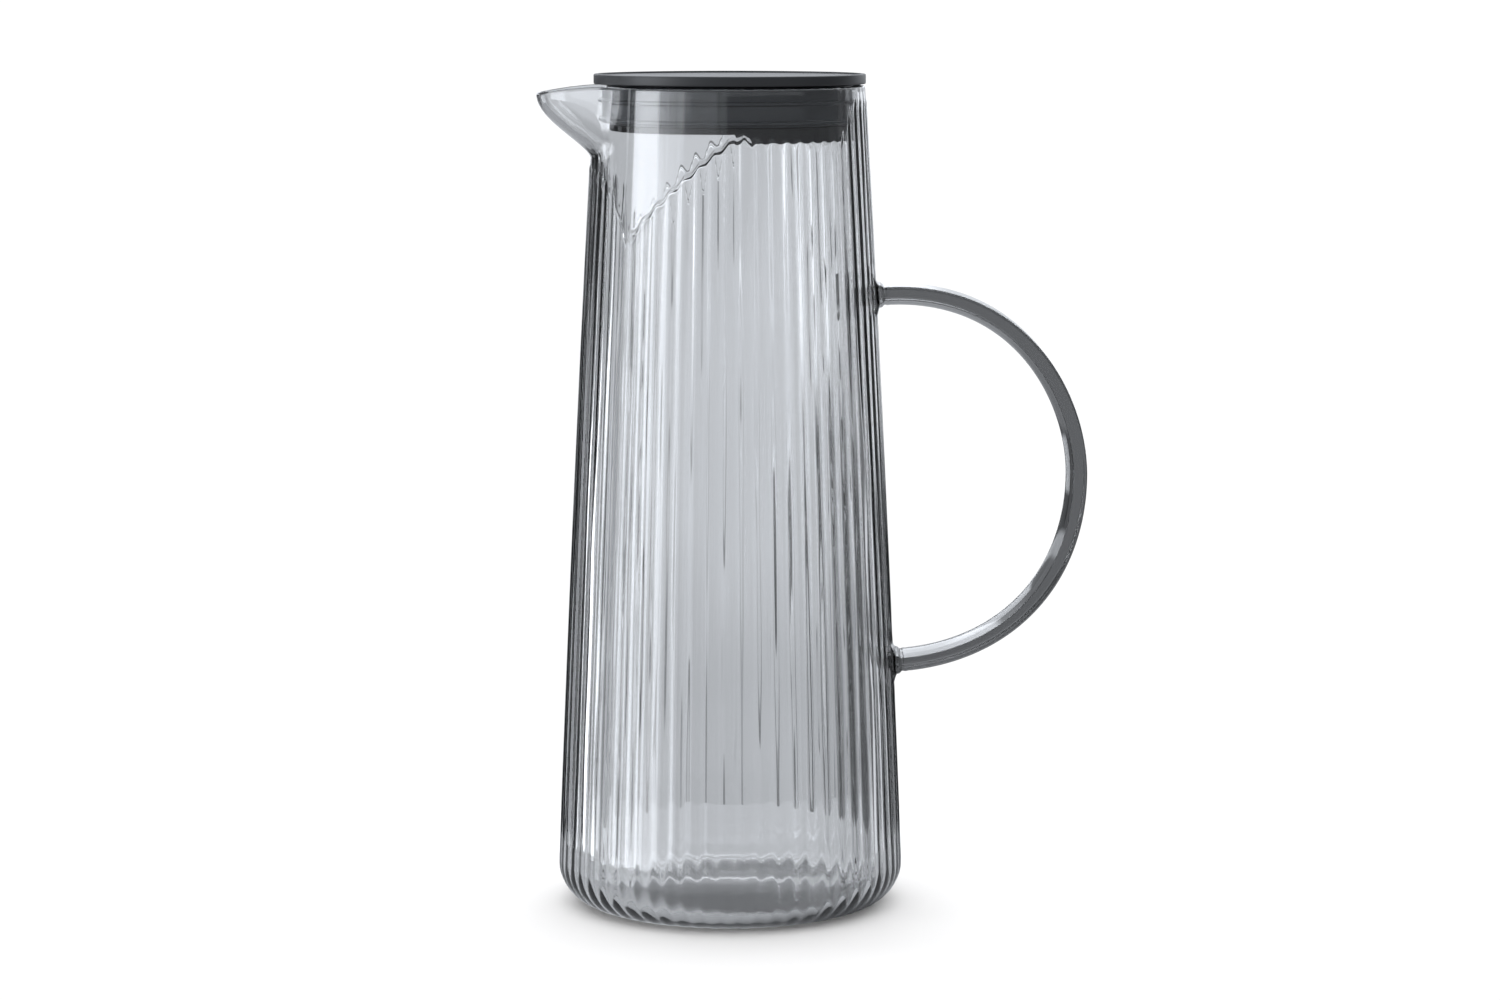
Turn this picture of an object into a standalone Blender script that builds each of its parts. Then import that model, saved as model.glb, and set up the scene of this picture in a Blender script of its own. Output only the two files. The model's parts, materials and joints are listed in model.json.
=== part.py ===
"""A ribbed glass jug with a pull-off pouring lid, in metres, +Z up.

The jug stands on z = 0 with its axis on Z. The spout points to -X and the handle to +X.
Five solids: the blown glass body, the glass handle welded to it, and a lid made of a cap,
a collar with a strainer, and a silicone seal. The lid pulls straight up out of the neck,
and its cap and collar turn in the seal.
"""

import math

import bmesh
import bpy
from mathutils import Matrix, Vector
from mathutils.geometry import interpolate_bezier

MM = 0.001

# Fits
WELD_GAP = 0.3 * MM  # between solids that touch on the real jug
MERGE_DISTANCE = 0.0001 * MM

# Glass body
RIM_HEIGHT = 256.5 * MM
BODY_RADIUS = 54.2 * MM  # over the ribs, where the wall meets the base corner
RIM_RADIUS = 42.1 * MM
BARREL_BULGE = 0.55 * MM  # how far the wall swells past a straight cone at mid height
BASE_CORNER = 12.5 * MM
GLASS_WALL = 2.2 * MM  # from the top of a rib to the smooth inside
FLOOR_THICKNESS = 6.0 * MM
FLOOR_CORNER = 9.0 * MM

# Ribs
RIB_COUNT = 60
RIB_DEPTH = 0.8 * MM
RIB_RUNOUT = 5.0 * MM  # length over which the top of a rib dies out
RIM_BAND = 3.0 * MM  # plain, fire-polished glass above the ribs
MELTED_SHARE = 0.35  # how deep the smooth glass round the spout lies, of the rib depth

# Spout
SPOUT_REACH = 17.9 * MM  # past the circle of the rim
SPOUT_DEPTH = 22.0 * MM  # from the rim down to the throat
SPOUT_HALF_ANGLE = math.radians(22.0)
SPOUT_DROP = 2.2 * MM  # the tip lies this far below the rim
SPOUT_FLOOR_RISE = 0.8 * MM  # how much the channel's floor is thickened, measured upwards
SPOUT_CURVE_SHARE = 1.3  # power of the sine that bends the spout's underside
# Edge of the smooth glass: degrees round from the spout, depth below the rim of the spout's depth
SMOOTH_EDGE_SHARES = (
    (0.0, 1.07), (20.0, 1.12), (36.0, 1.36), (47.0, 2.16),
    (58.0, 1.78), (71.0, 1.38), (95.0, 0.72), (112.0, 0.14),
)

# Handle
HANDLE_WIDTH = 16.0 * MM
HANDLE_THICKNESS = 6.2 * MM
HANDLE_ROUNDNESS_SHARE = 3.0  # power of the section's rounded oblong
HANDLE_TOP = 191.1 * MM
HANDLE_BOTTOM = 76.8 * MM
HANDLE_OUT = 108.2 * MM  # its middle line, from the jug's axis
HANDLE_OUT_HEIGHT = 135.6 * MM
HANDLE_TOP_PULL = 45.0 * MM
HANDLE_TOP_RISE = math.radians(6.0)
HANDLE_UPPER_PULL = 24.2 * MM
HANDLE_LOWER_PULL = 32.6 * MM
HANDLE_BOTTOM_PULL = 36.0 * MM
HANDLE_BOTTOM_RISE = math.radians(2.5)
FOOT_LENGTH = 3.2 * MM  # how far from the wall the welded foot spreads
FOOT_HEIGHT = 14.8 * MM
FOOT_WIDTH = 18.0 * MM

# Lid cap
CAP_RADIUS = 42.1 * MM
CAP_THICKNESS = 3.1 * MM
CAP_REST = 0.4 * MM  # between the glass rim and the cap's underside
CAP_DISH = 0.6 * MM
CAP_LIP = 1.3 * MM
CAP_EDGE = 0.4 * MM
BOSS_HEIGHT = 1.5 * MM

# Lid collar
COLLAR_RADIUS = 36.8 * MM
COLLAR_WALL = 2.6 * MM
COLLAR_DEPTH = 14.5 * MM  # below the cap, on the strainer side
COLLAR_CHAMFER = 0.5 * MM
SOLID_STEP = 1.3 * MM  # the plain side hangs this much lower
SKIRT_STEP = 1.6 * MM  # and its skirt this much lower again
STRAINER_INSET = 0.6 * MM  # the strainer side stands back from the plain side
STRAINER_HALF_ANGLE = math.radians(93.0)  # either side of the spout
SKIRT_FROM_SPOUT = math.radians(99.0)
NOTCH_FROM_SPOUT = (math.radians(156.0), math.radians(162.0))  # one notch in each half of the skirt
SLOT_COUNT = 9
SLOT_WIDTH = 1.5 * MM
SLOT_HEIGHT = 1.6 * MM  # up from the collar's lower edge, where the slots are open
SLOT_PITCH = math.radians(10.0)
CUT_OVERRUN = 2.0 * MM

# Lid seal
SEAL_DEPTH = 12.3 * MM  # below the cap
SEAL_GROOVE = 1.2 * MM  # how deep it sits in the collar
SEAL_PROUD = 1.3 * MM  # how far its sleeve stands out of the collar
FIN_THICKNESS = 1.4 * MM
FIN_TIP = 0.7 * MM
FIN_DEPTHS = (5.3 * MM, 11.2 * MM)  # middle of each fin, below the cap

# Faces
STEPS_PER_RIB = 4
OUTSIDE_STEPS = RIB_COUNT * STEPS_PER_RIB
OUTER_PER_INNER = 3
INSIDE_STEPS = OUTSIDE_STEPS // OUTER_PER_INNER
CORNER_STEPS = 4
LOWER_STEPS = 3
UPPER_STEPS = 6
HANDLE_STEPS = 12  # along each half
SECTION_STEPS = 8  # across the handle's width
TURNED_STEPS = 72
COLLAR_STEPS = 120

# Heights that several pieces share, from the rim
NECK_RADIUS = RIM_RADIUS - GLASS_WALL
SEAL_RADIUS = NECK_RADIUS - WELD_GAP
GROOVE_RADIUS = COLLAR_RADIUS - SEAL_GROOVE
SLEEVE_RADIUS = COLLAR_RADIUS + SEAL_PROUD
COLLAR_BORE = COLLAR_RADIUS - COLLAR_WALL


def clear_scene():
    for obj in list(bpy.data.objects):
        bpy.data.objects.remove(obj, do_unlink=True)


def principled(name, colour, roughness, transmission=0.0, ior=1.5):
    """A material of one Principled shader."""
    material = bpy.data.materials.new(name)
    material.use_nodes = True
    shader = material.node_tree.nodes["Principled BSDF"]
    shader.inputs["Base Color"].default_value = (*colour, 1.0)
    shader.inputs["Roughness"].default_value = roughness
    shader.inputs["Metallic"].default_value = 0.0
    shader.inputs["Transmission Weight"].default_value = transmission
    shader.inputs["IOR"].default_value = ior
    return material


def finish(name, bm, material, parent=None, sharp_degrees=35.0):
    """Turns a bmesh into a smooth-shaded object, its faces pointing outwards."""
    bmesh.ops.recalc_face_normals(bm, faces=bm.faces)
    mesh = bpy.data.meshes.new(name)
    bm.to_mesh(mesh)
    bm.free()
    mesh.shade_smooth()
    mesh.set_sharp_from_angle(angle=math.radians(sharp_degrees))
    mesh.materials.append(material)
    obj = bpy.data.objects.new(name, mesh)
    bpy.context.scene.collection.objects.link(obj)
    obj.parent = parent
    return obj


def empty(name, height, parent=None):
    """A joint's place: a point on the jug's axis."""
    obj = bpy.data.objects.new(name, None)
    bpy.context.scene.collection.objects.link(obj)
    obj.location.z = height
    obj.parent = parent
    return obj


def bridge(bm, lower, upper):
    """Quads between two closed rings of as many points, or triangles where one has fewer."""
    ratio = len(lower) // len(upper)
    for i in range(len(upper)):
        j = (i + 1) % len(upper)
        if ratio == 1:
            bm.faces.new((lower[i], lower[j], upper[j], upper[i]))
            continue
        middle = ratio // 2
        for k in range(ratio):
            a = lower[i * ratio + k]
            b = lower[(i * ratio + k + 1) % len(lower)]
            bm.faces.new((a, b, upper[i] if k < middle + 1 else upper[j]))
        bm.faces.new((lower[i * ratio + middle + 1], upper[j], upper[i]))


def ring_of(bm, place, steps):
    """One ring of points: place gives radius and height at an angle."""
    ring = []
    for step in range(steps):
        angle = math.tau * step / steps
        radius, height = place(angle)
        ring.append(bm.verts.new((radius * math.cos(angle), radius * math.sin(angle), height)))
    return ring


def turned(bm, profile, steps, closed):
    """Turns a list of radius and height about the axis; an open profile is capped at both ends."""
    rings = [ring_of(bm, lambda _, at=point: at, steps) for point in profile]
    for lower, upper in zip(rings, rings[1:]):
        bridge(bm, lower, upper)
    if closed:
        bridge(bm, rings[-1], rings[0])
    else:
        bm.faces.new(rings[0])
        bm.faces.new(rings[-1])
    return rings


def interpolate(pairs, at):
    """Straight lines through pairs of (where, value), level past both ends."""
    for (a, low), (b, high) in zip(pairs, pairs[1:]):
        if at <= b:
            return low + (high - low) * max(at - a, 0.0) / (b - a)
    return pairs[-1][1]


# Glass body


def from_spout(angle):
    """The angle round from the spout, either way."""
    return abs(math.remainder(angle - math.pi, math.tau))


def wall_radius(height):
    """The body over its ribs: a cone with a slight swell."""
    share = (height - BASE_CORNER) / (RIM_HEIGHT - BASE_CORNER)
    cone = BODY_RADIUS + (RIM_RADIUS - BODY_RADIUS) * share
    return cone + 4 * BARREL_BULGE * share * (1 - share)


def spout_share(angle):
    return math.exp(-((from_spout(angle) / SPOUT_HALF_ANGLE) ** 2))


def rim_height(angle):
    return RIM_HEIGHT - SPOUT_DROP * spout_share(angle) ** 2


def spout_push(height, angle):
    """How far the pulled lip stands out past the wall's circle."""
    rise = SPOUT_DEPTH - SPOUT_DROP
    share = min(max((height - RIM_HEIGHT + SPOUT_DEPTH) / rise, 0.0), 1.0)
    return SPOUT_REACH * math.sin(math.pi / 2 * share) ** SPOUT_CURVE_SHARE * spout_share(angle)


def rib_top(angle):
    """Where the ribs end: under the rim, and lower in the glass that was melted for the spout."""
    share = interpolate(SMOOTH_EDGE_SHARES, math.degrees(from_spout(angle)))
    return min(RIM_HEIGHT - RIM_BAND, RIM_HEIGHT - SPOUT_DEPTH * share)


def rib_cut(angle, height):
    """Depth below the rib tops: round ribs meeting in sharp valleys, dying out at rib_top."""
    rib = 1 - abs(math.cos(RIB_COUNT * angle / 2))
    whole = min(max((rib_top(angle) - height) / RIB_RUNOUT, 0.0), 1.0)
    return RIB_DEPTH * (rib * whole + MELTED_SHARE * (1 - whole))


def outside_place(angle, height):
    radius = wall_radius(height) - rib_cut(angle, height) + spout_push(height, angle)
    return radius, height


def inside_place(angle, height):
    push = spout_push(height - SPOUT_FLOOR_RISE, angle)
    return wall_radius(height) - GLASS_WALL + push, height


def base_place(angle, share):
    """The base corner, from the flat it stands on (0) to the wall (1)."""
    turn = math.pi / 2 * share
    radius = BASE_CORNER - rib_cut(angle, BASE_CORNER) * math.sin(turn)
    return BODY_RADIUS - BASE_CORNER + radius * math.sin(turn), BASE_CORNER - radius * math.cos(turn)


def floor_place(share):
    """The corner inside, from the wall (0) to the floor (1)."""
    turn = math.pi / 2 * share
    start = FLOOR_THICKNESS + FLOOR_CORNER
    middle = wall_radius(start) - GLASS_WALL - FLOOR_CORNER
    return middle + FLOOR_CORNER * math.cos(turn), start - FLOOR_CORNER * math.sin(turn)


def lip_place(angle, turn):
    """The rounded rim: turn 0 is its outer side, half a turn its inner side."""
    top = rim_height(angle) - GLASS_WALL / 2
    outer, inner = outside_place(angle, top)[0], inside_place(angle, top)[0]
    radius = (outer + inner) / 2 + (outer - inner) / 2 * math.cos(turn)
    return radius, top + GLASS_WALL / 2 * math.sin(turn)


def lower_height(angle, share):
    start, end = BASE_CORNER, rib_top(angle) - RIB_RUNOUT
    return start + (end - start) * share


def upper_height(angle, share):
    start, end = rib_top(angle), rim_height(angle) - GLASS_WALL / 2
    return start + (end - start) * share


def inner_height(angle, share):
    """Heights down the inside of the neck and spout."""
    start, end = rim_height(angle) - GLASS_WALL / 2, RIM_HEIGHT - SPOUT_DEPTH
    return start + (end - start) * share


def glass_body(material):
    bm = bmesh.new()
    outside, inside = [], []

    def add_outside(place):
        outside.append(ring_of(bm, place, OUTSIDE_STEPS))

    def add_inside(place):
        inside.append(ring_of(bm, place, INSIDE_STEPS))

    for i in range(CORNER_STEPS + 1):
        add_outside(lambda a, s=i / CORNER_STEPS: base_place(a, s))
    for i in range(1, LOWER_STEPS + 1):
        add_outside(lambda a, s=i / LOWER_STEPS: outside_place(a, lower_height(a, s)))
    for i in range(UPPER_STEPS):
        add_outside(lambda a, s=i / UPPER_STEPS: outside_place(a, upper_height(a, s)))
    for eighths in (0, 2):
        add_outside(lambda a, t=math.pi * eighths / 8: lip_place(a, t))
    for eighths in (4, 6, 8):
        add_inside(lambda a, t=math.pi * eighths / 8: lip_place(a, t))
    for i in range(1, UPPER_STEPS + 1):
        add_inside(lambda a, s=i / UPPER_STEPS: inside_place(a, inner_height(a, s)))
    low, high = FLOOR_THICKNESS + FLOOR_CORNER, RIM_HEIGHT - SPOUT_DEPTH
    for i in range(1, LOWER_STEPS):
        add_inside(lambda a, z=high + (low - high) * i / LOWER_STEPS: inside_place(a, z))
    for i in range(CORNER_STEPS + 1):
        add_inside(lambda _, s=i / CORNER_STEPS: floor_place(s))

    for rings in (outside, inside):
        for lower, upper in zip(rings, rings[1:]):
            bridge(bm, lower, upper)
    bridge(bm, outside[-1], inside[0])
    bm.faces.new(outside[0])
    bm.faces.new(inside[-1])
    return finish("glass_body", bm, material)


# Handle


def handle_line():
    """Points and directions along the middle of the handle, from its upper foot to its lower."""
    def pull(length, rise):
        return Vector((length * math.cos(rise), 0, length * math.sin(rise)))

    top = Vector((wall_radius(HANDLE_TOP) + WELD_GAP, 0, HANDLE_TOP))
    out = Vector((HANDLE_OUT, 0, HANDLE_OUT_HEIGHT))
    low = Vector((wall_radius(HANDLE_BOTTOM) + WELD_GAP, 0, HANDLE_BOTTOM))
    upper = interpolate_bezier(
        top, top + pull(HANDLE_TOP_PULL, HANDLE_TOP_RISE),
        out + Vector((0, 0, HANDLE_UPPER_PULL)), out, HANDLE_STEPS + 1,
    )
    lower = interpolate_bezier(
        out, out - Vector((0, 0, HANDLE_LOWER_PULL)),
        low + pull(HANDLE_BOTTOM_PULL, HANDLE_BOTTOM_RISE), low, HANDLE_STEPS + 1,
    )
    # A point close to each wall, so that the welded foot spreads over a short length
    line = upper + lower[1:]
    line.insert(1, line[0].lerp(line[1], FOOT_LENGTH / (line[1] - line[0]).length / 2))
    line.insert(-1, line[-1].lerp(line[-2], FOOT_LENGTH / (line[-2] - line[-1]).length / 2))
    directions = []
    for i in range(len(line)):
        before, after = line[max(i - 1, 0)], line[min(i + 1, len(line) - 1)]
        directions.append((after - before).normalized())
    return line, directions


def section_half(across):
    """Half thickness of the oblong section, as a share, at a share of its half width."""
    power = HANDLE_ROUNDNESS_SHARE
    return (1 - abs(across) ** power) ** (1 / power)


def glass_handle(material):
    bm = bmesh.new()
    line, directions = handle_line()
    stations = [math.sin(math.pi / 2 * (2 * i / SECTION_STEPS - 1)) for i in range(SECTION_STEPS + 1)]
    around = [(s, 1) for s in stations] + [(s, -1) for s in stations[-2:0:-1]]
    rings = []
    for i, (point, direction) in enumerate(zip(line, directions)):
        outward = Vector((-direction.z, 0, direction.x))
        from_wall = min((point - line[0]).length, (point - line[-1]).length)
        spread = max(1 - from_wall / FOOT_LENGTH, 0.0) ** 2
        thickness = HANDLE_THICKNESS + (FOOT_HEIGHT - HANDLE_THICKNESS) * spread
        width = HANDLE_WIDTH + (FOOT_WIDTH - HANDLE_WIDTH) * spread
        ring = []
        for across, side in around:
            half = side * section_half(across) * thickness / 2
            place = point + outward * half + Vector((0, across * width / 2, 0))
            if i in (0, len(line) - 1):
                # The end follows the round wall, the weld's gap away from it
                reach = wall_radius(place.z) + WELD_GAP
                place.x = math.sqrt(reach ** 2 - place.y ** 2)
            ring.append(bm.verts.new(place))
        rings.append(ring)
    for near, far in zip(rings, rings[1:]):
        bridge(bm, near, far)
    # Each end is closed in strips across its height, so that it stays round with the wall
    for ring in (rings[0], rings[-1]):
        upper = ring[: SECTION_STEPS + 1]
        lower = [ring[0]] + ring[:SECTION_STEPS:-1] + [ring[SECTION_STEPS]]
        for i in range(SECTION_STEPS):
            corners = [upper[i], upper[i + 1], lower[i + 1], lower[i]]
            bm.faces.new(list(dict.fromkeys(corners)))
    return finish("glass_handle", bm, material, sharp_degrees=60.0)


# Lid: heights are measured from the cap's underside, which is where the joints' empties lie


def lid_cap(material, parent):
    dish_radius = CAP_RADIUS - CAP_LIP - CAP_DISH
    boss_radius = COLLAR_BORE - WELD_GAP
    profile = (
        (dish_radius / 2, CAP_THICKNESS - CAP_DISH),
        (dish_radius, CAP_THICKNESS - CAP_DISH),
        (CAP_RADIUS - CAP_LIP, CAP_THICKNESS),
        (CAP_RADIUS - CAP_EDGE, CAP_THICKNESS),
        (CAP_RADIUS, CAP_THICKNESS - CAP_EDGE),
        (CAP_RADIUS, CAP_EDGE),
        (CAP_RADIUS - CAP_EDGE, 0),
        (boss_radius, 0),
        (boss_radius, -BOSS_HEIGHT),
    )
    bm = bmesh.new()
    turned(bm, profile, TURNED_STEPS, closed=False)
    return finish("lid_cap", bm, material, parent)


def strainer_cutter():
    """The pour slots as one cutter: upright bars set round the spout's direction."""
    bm = bmesh.new()
    length = COLLAR_WALL + 2 * CUT_OVERRUN
    height = SLOT_HEIGHT + CUT_OVERRUN
    middle = -COLLAR_DEPTH + SLOT_HEIGHT - height / 2
    for i in range(SLOT_COUNT):
        angle = math.pi + SLOT_PITCH * (i - (SLOT_COUNT - 1) / 2)
        place = (
            Matrix.Rotation(angle, 4, "Z")
            @ Matrix.Translation((COLLAR_RADIUS - COLLAR_WALL / 2, 0, middle))
            @ Matrix.Diagonal((length, SLOT_WIDTH, height, 1))
        )
        bmesh.ops.create_cube(bm, size=1, matrix=place)
    mesh = bpy.data.meshes.new("strainer_cutter")
    bm.to_mesh(mesh)
    bm.free()
    cutter = bpy.data.objects.new("strainer_cutter", mesh)
    bpy.context.scene.collection.objects.link(cutter)
    cutter.hide_render = True
    cutter.display_type = "WIRE"
    return cutter


def face_angle(face):
    """How far a face lies from the spout's direction."""
    middle = face.calc_center_median()
    return from_spout(math.atan2(middle.y, middle.x))


def in_skirt(face):
    start, end = NOTCH_FROM_SPOUT
    angle = face_angle(face)
    return angle > SKIRT_FROM_SPOUT and not start < angle < end


def drop_faces(bm, step, wanted):
    """Pulls the lowest faces that are wanted straight down by one step."""
    lowest = min(v.co.z for v in bm.verts)
    faces = [f for f in bm.faces if wanted(f) and all(v.co.z - lowest < MERGE_DISTANCE for v in f.verts)]
    moved = bmesh.ops.extrude_face_region(bm, geom=faces)["geom"]
    verts = [item for item in moved if isinstance(item, bmesh.types.BMVert)]
    bmesh.ops.delete(bm, geom=faces, context="FACES")
    bmesh.ops.translate(bm, verts=verts, vec=(0, 0, -step))


def lid_collar(material, parent):
    shoulder = -(SEAL_DEPTH + WELD_GAP)
    profile = (
        (COLLAR_BORE, -WELD_GAP),
        (GROOVE_RADIUS - WELD_GAP, -WELD_GAP),
        (GROOVE_RADIUS - WELD_GAP, shoulder),
        (COLLAR_RADIUS, shoulder),
        (COLLAR_RADIUS, -COLLAR_DEPTH + COLLAR_CHAMFER),
        (COLLAR_RADIUS - COLLAR_CHAMFER, -COLLAR_DEPTH),
        (COLLAR_BORE, -COLLAR_DEPTH),
    )
    bm = bmesh.new()
    rings = turned(bm, profile, COLLAR_STEPS, closed=True)
    for ring in rings[3:6]:
        for vert in ring:
            angle = math.atan2(vert.co.y, vert.co.x)
            if from_spout(angle) < STRAINER_HALF_ANGLE:
                inset = Vector((math.cos(angle), math.sin(angle), 0)) * STRAINER_INSET
                vert.co -= inset
    drop_faces(bm, SOLID_STEP, lambda f: face_angle(f) > STRAINER_HALF_ANGLE)
    drop_faces(bm, SKIRT_STEP, in_skirt)
    collar = finish("lid_collar", bm, material, parent)
    cutter = strainer_cutter()
    cutter.parent = parent
    slots = collar.modifiers.new("pour slots", "BOOLEAN")
    slots.operation = "DIFFERENCE"
    slots.object = cutter
    return collar


def lid_seal(material, parent):
    """A sleeve in the collar's groove with two fins that wipe the inside of the neck."""
    profile = [(GROOVE_RADIUS, -WELD_GAP), (SLEEVE_RADIUS, -WELD_GAP)]
    for depth in FIN_DEPTHS:
        profile += [
            (SLEEVE_RADIUS, -depth + FIN_THICKNESS / 2),
            (SEAL_RADIUS, -depth + FIN_TIP / 2),
            (SEAL_RADIUS, -depth - FIN_TIP / 2),
            (SLEEVE_RADIUS, -depth - FIN_THICKNESS / 2),
        ]
    profile += [(SLEEVE_RADIUS, -SEAL_DEPTH), (GROOVE_RADIUS, -SEAL_DEPTH)]
    bm = bmesh.new()
    turned(bm, profile, TURNED_STEPS, closed=True)
    return finish("lid_seal", bm, material, parent)


def build():
    clear_scene()
    glass = principled("smoked borosilicate glass", (0.62, 0.64, 0.67), 0.02, 1.0, 1.47)
    plastic = principled("matte charcoal polypropylene", (0.045, 0.047, 0.05), 0.55)
    silicone = principled("grey silicone", (0.16, 0.17, 0.18), 0.45)
    glass_body(glass)
    glass_handle(glass)
    lift = empty("lid_lift", RIM_HEIGHT + CAP_REST)
    seal = lid_seal(silicone, lift)
    turn = empty("lid_turn", 0, seal)
    lid_cap(plastic, turn)
    lid_collar(plastic, turn)
    bpy.context.view_layer.update()


build()
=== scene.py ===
# %% [markdown]
# # A ribbed glass jug with a pull-off lid
#
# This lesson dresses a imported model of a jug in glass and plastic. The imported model, called
# the frame below, holds the true sizes. We only ever build around it, so each finished piece
# sits exactly where the frame says, and moves with the part of the frame that it belongs to.

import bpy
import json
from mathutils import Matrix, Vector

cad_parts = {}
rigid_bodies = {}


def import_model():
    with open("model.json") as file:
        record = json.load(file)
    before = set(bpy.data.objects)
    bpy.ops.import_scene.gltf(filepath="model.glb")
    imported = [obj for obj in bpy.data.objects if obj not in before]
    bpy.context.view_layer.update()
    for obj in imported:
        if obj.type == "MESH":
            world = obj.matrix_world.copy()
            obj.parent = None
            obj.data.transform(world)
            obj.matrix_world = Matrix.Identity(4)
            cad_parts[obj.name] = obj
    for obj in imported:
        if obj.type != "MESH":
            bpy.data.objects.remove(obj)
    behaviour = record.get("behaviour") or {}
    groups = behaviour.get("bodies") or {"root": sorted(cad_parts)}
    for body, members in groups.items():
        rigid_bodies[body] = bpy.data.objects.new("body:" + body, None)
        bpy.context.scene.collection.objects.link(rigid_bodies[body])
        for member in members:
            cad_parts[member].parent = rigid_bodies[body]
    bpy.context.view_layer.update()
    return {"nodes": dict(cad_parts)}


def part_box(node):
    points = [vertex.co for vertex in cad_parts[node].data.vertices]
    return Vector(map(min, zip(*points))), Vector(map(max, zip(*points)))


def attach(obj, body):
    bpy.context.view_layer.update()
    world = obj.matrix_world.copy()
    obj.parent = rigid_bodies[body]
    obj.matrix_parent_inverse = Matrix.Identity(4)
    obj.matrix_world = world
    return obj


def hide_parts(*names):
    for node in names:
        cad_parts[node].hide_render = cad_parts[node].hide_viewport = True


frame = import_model()
print("frame:", ", ".join(frame["nodes"]))

# %% Libraries and units
import json
import math

import bpy
import numpy as np

MM = 0.001
TURN = 2 * math.pi
print(f"Blender {bpy.app.version_string}: lengths are in metres, angles in radians")

# %% [markdown]
# ## Small helpers
#
# Every surface here is a grid of points that numpy works out in one go. A grid becomes a mesh
# when its neighbours are joined into quads. The index arithmetic is the same for every piece,
# so it is written once.


# %% Grids to quads
def grid_quads(rows, columns, closed_rows=False):
    """Quads of a grid whose columns close into rings, as rows of four point numbers."""
    numbers = np.arange(rows * columns).reshape(rows, columns)
    if closed_rows:
        numbers = np.vstack([numbers, numbers[:1]])
    right = np.roll(numbers, -1, axis=1)
    quads = np.stack([numbers[:-1], right[:-1], right[1:], numbers[1:]], axis=-1)
    return quads.reshape(-1, 4)


def fan(ring, centre):
    """Triangles from each edge of a closed ring of point numbers to one centre point."""
    return np.stack([ring, np.roll(ring, -1), np.full(len(ring), centre)], axis=-1)


def step_down(wide, narrow):
    """Triangles between a ring and one with fewer points, by a whole ratio: each point of the
    narrow ring fans out to its share of the wide one, and one more triangle closes the gap."""
    ratio = len(wide) // len(narrow)
    owner = (np.arange(len(wide)) + ratio // 2) // ratio % len(narrow)
    fans = np.stack([wide, np.roll(wide, -1), narrow[owner]], axis=-1)
    ends = (np.arange(len(narrow)) * ratio + ratio - ratio // 2) % len(wide)
    links = np.stack([wide[ends], np.roll(narrow, -1), narrow], axis=-1)
    return np.vstack([fans, links])


def capped_quads(rows, columns):
    """Quads of a grid of rings, and a fan over each end. The two centres follow the grid."""
    numbers = np.arange(rows * columns).reshape(rows, columns)
    return [
        grid_quads(rows, columns),
        fan(numbers[0], rows * columns)[:, ::-1],
        fan(numbers[-1], rows * columns + 1),
    ]


print("a grid of 3 rings with 4 points each has", len(grid_quads(3, 4)), "quads")


# %% Points to objects
def new_object(name, points, faces, material, smooth=True):
    """A mesh object at the origin. faces is a list of arrays, each of triangles or of quads."""
    mesh = bpy.data.meshes.new(name)
    mesh.from_pydata(points.tolist(), [], [face for part in faces for face in part.tolist()])
    mesh.validate()
    mesh.materials.append(material)
    if smooth:
        mesh.shade_smooth()
    piece = bpy.data.objects.new(name, mesh)
    bpy.context.scene.collection.objects.link(piece)
    print(f"{name}: {len(mesh.vertices)} points, {len(mesh.polygons)} faces")
    return piece


def cylinder_points(radius, angle, height):
    """Radius, angle and height, as arrays of one shape, to rows of x, y and z."""
    places = np.stack([radius * np.cos(angle), radius * np.sin(angle), height], axis=-1)
    return places.reshape(-1, 3)


print("a point a quarter of a turn round:", cylinder_points(1.0, TURN / 4, 0.0).round(3).tolist())

# %% [markdown]
# ## Colours and nodes
#
# Colours are written as the eye reads them, in sRGB hex. Blender wants linear light, so one
# function converts them. One more adds a shader node with its settings and links.


# %% Colour and node helpers
def colour(code):
    """sRGB hex to linear: below 0.04045 a straight line, above it a power curve of 2.4."""
    parts = np.array([int(code[i : i + 2], 16) for i in (1, 3, 5)]) / 255
    low, high = parts / 12.92, ((parts + 0.055) / 1.055) ** 2.4
    return (*np.where(parts <= 0.04045, low, high), 1.0)


def add_node(tree, kind, links=None, **settings):
    """Adds a node. links maps an input's name or number to a number, colour or other socket."""
    node = tree.nodes.new(kind)
    for name, value in settings.items():
        setattr(node, name, value)
    for key, value in (links or {}).items():
        if isinstance(value, bpy.types.NodeSocket):
            tree.links.new(value, node.inputs[key])
        else:
            node.inputs[key].default_value = value
    return node


def new_material(name):
    """A material with an empty node tree, apart from its output."""
    material = bpy.data.materials.new(name)
    material.use_nodes = True
    tree = material.node_tree
    tree.nodes.clear()
    return material, tree, tree.nodes.new("ShaderNodeOutputMaterial")


print(f"#808080 looks half as bright as white, and sends {colour('#808080')[0]:.0%} of its light")

# %% [markdown]
# ## Smoked borosilicate glass
#
# The jug is blown from borosilicate glass with a little metal oxide in the melt. Light loses
# a share of itself with every millimetre of glass that it crosses, so the thin wall looks pale
# and the edges, where we look along the wall, look dark. A tint on the surface can't do that.
# The material is therefore clear at its surface, and a Volume Absorption node darkens it
# inside.

# %% Glass material
GLASS_IOR = 1.473  # borosilicate bends light a little less than window glass
GLASS_TINT = "#888888"
GLASS_DENSITY = 125.0  # per metre of glass
HANDLE_SHADED_DENSITY = 185.0  # painted shade: the same glass with more absorption, so the handle looks darker


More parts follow.
